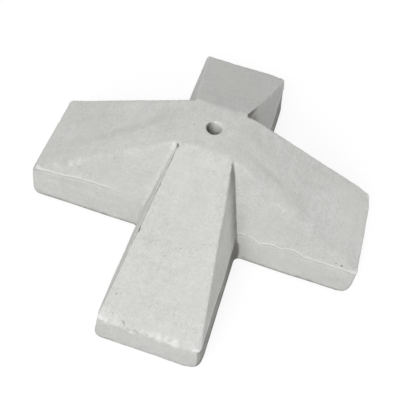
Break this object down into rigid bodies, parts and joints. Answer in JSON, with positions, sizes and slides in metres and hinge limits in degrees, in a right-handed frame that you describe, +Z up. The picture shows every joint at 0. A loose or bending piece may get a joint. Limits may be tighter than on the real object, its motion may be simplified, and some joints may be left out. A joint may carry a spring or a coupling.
{
  "type": "cross-shaped concrete block",
  "caption": "Precast concrete block in the shape of a cross, with arms that slope up to a small arched crown and a vertical pin hole through the middle.",
  "frame": {"origin": "centre of the underside, on the axis of the pin hole", "axes": "+Z up along the pin hole, towards the crown; +X and +Y along the two bars of the cross"},
  "size_m": [0.4, 0.4, 0.151],
  "materials": {
    "concrete": "matt, cast, with pinholes, chipped edges and faint float marks"
  },
  "bodies": {
    "root": {"cross_block": "concrete"}
  },
  "joints": []
}
